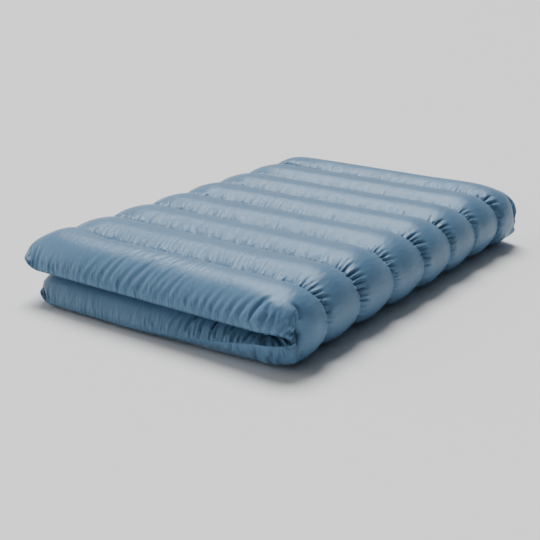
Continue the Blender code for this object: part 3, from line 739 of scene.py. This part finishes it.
def beside_seams(made, where, reach):
    """1 at a quilting seam, falling to a seventh at that distance from it and beyond."""
    along = node(made, "ShaderNodeSeparateXYZ", {"Vector": where}).outputs["Y"]
    half_channel = CELLS * CELL / 2
    from_seam = node(made, "ShaderNodeMath", {0: along, 1: half_channel}, operation="PINGPONG").outputs[0]
    sockets = {"Value": from_seam, "From Max": reach, "To Min": 1.0, "To Max": 0.15}
    return node(made, "ShaderNodeMapRange", sockets, interpolation_type="SMOOTHSTEP").outputs["Result"]


def satin(name, colour, coords="flat", creases=0.009):
    """Coated nylon: a close weave, creases that start at the seams, and slightly uneven colour and gloss."""
    gloss = {"Sheen_Weight": 0.06, "Sheen_Roughness": 0.4, "Specular_IOR_Level": 0.45}
    made, shader = principled(name, colour, 0.36, **gloss)
    shader.inputs["Specular Tint"].default_value = (0.62, 0.82, 1.0, 1)
    where = place(made, coords)
    vary_colour(made, shader, noise(made, where, 9, 4.0), colour, 0.10)
    vary_roughness(made, shader, noise(made, where, 60, 3.0), 0.28, 0.44)
    weave = [(bands(made, where, axis, 0.0007), 0.00004) for axis in ("X", "Y")]
    broad, middling, fine = (30, 1.2, 0.06), (75, 1.0, 0.045), (180, 0.35, 0.03)
    heights = []
    for per_metre, share, reach in (broad, middling, fine):
        depth = share * creases
        crease = noise(made, where, per_metre, 2.5, (1, 0.35, 1))
        if coords == "flat":
            factors = {0: crease, 1: beside_seams(made, where, reach)}
            crease = node(made, "ShaderNodeMath", factors, operation="MULTIPLY").outputs[0]
        heights.append((crease, depth))
    raise_by(made, shader, weave + heights)
    return made


def ribbed_tape(name, colour):
    """Woven tape, with ribs across it and a herringbone along it."""
    made, shader = principled(name, colour, 0.8, Sheen_Weight=0.2)
    where = place(made, "object")
    vary_colour(made, shader, noise(made, where, 250), colour, 0.12)
    ribs, herringbone = bands(made, where, "Y", 0.0009), bands(made, where, "DIAGONAL", 0.0014)
    raise_by(made, shader, [(ribs, 0.0002), (herringbone, 0.0001)])
    return made


def twisted_thread(name, colour):
    """Sewing thread, with the slanting lines of its twist."""
    made, shader = principled(name, colour, 0.5, Sheen_Weight=0.4)
    where = place(made, "object")
    vary_colour(made, shader, noise(made, where, 120), colour, 0.15)
    raise_by(made, shader, [(bands(made, where, "DIAGONAL", 0.0005), 0.0001)])
    return made


def pile(name, colour):
    """Hook and loop pile: dense, rough and dull."""
    made, shader = principled(name, colour, 0.95, Sheen_Weight=0.6)
    where = place(made, "object")
    tufts = noise(made, where, 900, 3.0)
    vary_colour(made, shader, tufts, colour, 0.35)
    raise_by(made, shader, [(tufts, 0.0008), (bands(made, where, "Y", 0.0016), 0.0003)])
    return made


def crinkled_foil(name, colour):
    """Bright foil, creased into small facets."""
    made, shader = principled(name, colour, 0.25, Metallic=1.0)
    where = place(made, "object")
    facets = node(made, "ShaderNodeTexVoronoi", {"Vector": where, "Scale": 55.0}).outputs["Distance"]
    vary_colour(made, shader, noise(made, where, 12), colour, 0.08)
    vary_roughness(made, shader, noise(made, where, 45), 0.16, 0.36)
    raise_by(made, shader, [(facets, 0.002), (noise(made, where, 160, 3.0), 0.0003)])
    return made


def grained(name, colour, roughness, grain, depth, spread, stretch=(1, 1, 1), **sockets):
    """A plain material with a grain: how many grains in a metre, how deep, and how far its colour spreads."""
    made, shader = principled(name, colour, roughness, **sockets)
    where = place(made, "object")
    vary_colour(made, shader, noise(made, where, 25, 3.0), colour, spread)
    vary_roughness(made, shader, noise(made, where, 90, 3.0), 0.85 * roughness, min(1.0, 1.2 * roughness))
    raise_by(made, shader, [(noise(made, where, grain, 2.0, stretch), depth)])
    return made


shell_satin = satin("shell_satin", (0.100, 0.208, 0.340))
# Painted shade: the lining is the shell's fabric, given a slightly darker colour for the shade in the gap
# between the halves where it lies
lining_satin_painted_shade = satin("lining_satin_painted_shade", (0.094, 0.190, 0.305))
binding_satin = satin("binding_satin", (0.086, 0.190, 0.305), "object", creases=0.0008)
thread = twisted_thread("quilting_thread", (0.12, 0.22, 0.32))
closing_pile = pile("closing_pile", (0.035, 0.055, 0.080))
tooth_plastic = grained("tooth_plastic", (0.06, 0.12, 0.18), 0.32, grain=800, depth=0.00005, spread=0.10)
cable_silicone = grained("cable_silicone", (0.20, 0.045, 0.03), 0.38, grain=400, depth=0.0001, spread=0.08)
node_materials = {
    "carrier_cloth": grained(
        "carrier_cloth", (0.030, 0.030, 0.034), 0.9, grain=600, depth=0.0004, spread=0.25, Sheen_Weight=0.3
    ),
    "heating_cable": cable_silicone,
    "reflective_foil": crinkled_foil("reflective_foil", (0.80, 0.81, 0.83)),
    "black_plastic": grained(
        "black_plastic", (0.020, 0.020, 0.023), 0.55, grain=1500, depth=0.00012, spread=0.10
    ),
    "contact_metal": grained(
        "contact_metal", (0.72, 0.52, 0.22), 0.25, grain=900, depth=0.00003, spread=0.06, Metallic=1.0
    ),
    "screw_steel": grained(
        "screw_steel", (0.55, 0.56, 0.57), 0.35, grain=700, depth=0.00004, spread=0.06, stretch=(6, 1, 1),
        Metallic=1.0,
    ),
    "zip_tape": ribbed_tape("zip_tape", (0.065, 0.140, 0.215)),
    "zip_metal": grained(
        "zip_metal", (0.42, 0.43, 0.45), 0.30, grain=700, depth=0.00004, spread=0.08, stretch=(1, 5, 1),
        Metallic=1.0,
    ),
}


def soften_edges(obj):
    """A small bevel on a rigid CAD piece's edges, as moulding and plating leave them."""
    bevel = obj.modifiers.new("soft_edges", "BEVEL")
    bevel.width = SOFT_EDGE
    bevel.segments = 2
    bevel.limit_method = "ANGLE"
    bevel.angle_limit = math.radians(35)


def dress_cad_nodes():
    """Gives each CAD node that is still shown the material of its slot in the record."""
    slots = {part["node"]: part["material_slot"] for part in frame["record"]["subparts"]}
    for name, slot in slots.items():
        obj = bpy.data.objects[name]
        if obj.hide_render:
            continue
        obj.data.materials.clear()
        obj.data.materials.append(node_materials[slot])
        moulded_or_plated = slot in ("black_plastic", "zip_metal")
        if moulded_or_plated and name.startswith(("inlet", "zip", "lower_zip", "upper_zip")):
            soften_edges(obj)


stations = Stations()
outer_points, _ = relaxed_skin(stations, 1)
lining_points, lining_normals = relaxed_skin(stations, -1)

outer = skin("outer_shell_cloth", outer_points, True, shell_satin)
lining = skin("lining_cloth", lining_points, False, lining_satin_painted_shade)
batts = [f"{half}_insulation_{n}" for half in HALVES for n in range(1, CHANNELS + 1)]
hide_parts("lower_outer_shell", "upper_outer_shell", "fold_shell", "fold_padding", *batts)
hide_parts("lower_lining", "upper_lining", "fold_lining", "lower_wadding", "upper_wadding")
seam_stitches("shell_stitching", outer_points, stations, 1, thread)
seam_stitches("lining_stitching", lining_points, stations, -1, thread)
edge_bindings(outer_points, binding_satin)
foot_strip("lower", "foot_loop_strip", lining_points, lining_normals, stations, closing_pile)
foot_strip("upper", "foot_hook_strip", lining_points, lining_normals, stations, closing_pile)
for half in HALVES:
    zip_teeth(half, tooth_plastic)
fold_lead_cable(cable_silicone)
dress_cad_nodes()


def lay_floor():
    mesh = bpy.data.meshes.new("floor")
    corners = [(FLOOR_HALF * i, FLOOR_HALF * j, 0) for i, j in ((-1, -1), (1, -1), (1, 1), (-1, 1))]
    mesh.from_pydata(corners, [], [(0, 1, 2, 3)])
    painted = grained("floor", (0.90, 0.90, 0.90), 0.9, grain=300, depth=0.0001, spread=0.01)
    floor = new_object("floor", mesh, painted)


def surround(horizon, zenith, shade):
    """A plain pale surround: brightest round the horizon, dimmer overhead, and shaded on the fold's side."""
    world = bpy.data.worlds.new("surround")
    world.use_nodes = True
    bpy.context.scene.world = world
    background = world.node_tree.nodes["Background"]
    background.inputs["Color"].default_value = (1, 1, 1, 1)
    direction = node(world, "ShaderNodeTexCoord").outputs["Generated"]
    parts = node(world, "ShaderNodeSeparateXYZ", {"Vector": direction}).outputs
    rising = {"Value": parts["Z"], "From Min": 0.0, "From Max": 0.25, "To Min": horizon, "To Max": zenith}
    brightness = node(world, "ShaderNodeMapRange", rising, interpolation_type="SMOOTHSTEP").outputs["Result"]
    turning = {"Value": parts["X"], "From Min": -0.1, "From Max": 0.7, "To Min": 1.0, "To Max": shade}
    share = node(world, "ShaderNodeMapRange", turning, interpolation_type="SMOOTHSTEP").outputs["Result"]
    strength = node(world, "ShaderNodeMath", {0: brightness, 1: share}, operation="MULTIPLY").outputs[0]
    world.node_tree.links.new(strength, background.inputs["Strength"])


def sun(name, location, energy, width):
    """A soft light from far away, that wide in degrees, aimed at the middle of the blanket."""
    light = bpy.data.lights.new(name, "SUN")
    light.energy = energy
    light.angle = math.radians(width)
    obj = bpy.data.objects.new(name, light)
    bpy.context.scene.collection.objects.link(obj)
    obj.location = location
    obj.rotation_euler = (Vector((0, 0, LAYER)) - obj.location).to_track_quat("-Z", "Y").to_euler()


def set_camera():
    data = bpy.data.cameras.new("camera")
    data.lens = LENS
    camera = bpy.data.objects.new("camera", data)
    bpy.context.scene.collection.objects.link(camera)
    azimuth, elevation = math.radians(AZIMUTH), math.radians(ELEVATION)
    level = math.cos(elevation)
    direction = Vector((math.sin(azimuth) * level, -math.cos(azimuth) * level, math.sin(elevation)))
    camera.location = Vector(TARGET) + DISTANCE * direction
    camera.rotation_euler = (-direction).to_track_quat("-Z", "Y").to_euler()
    bpy.context.scene.camera = camera


lay_floor()
sun("key", location=(-1.4, 1.3, 3.5), energy=4.1, width=32)
sun("fill", location=(-3.0, -1.5, 1.3), energy=0.8, width=60)
surround(horizon=1.25, zenith=0.27, shade=0.08)
set_camera()
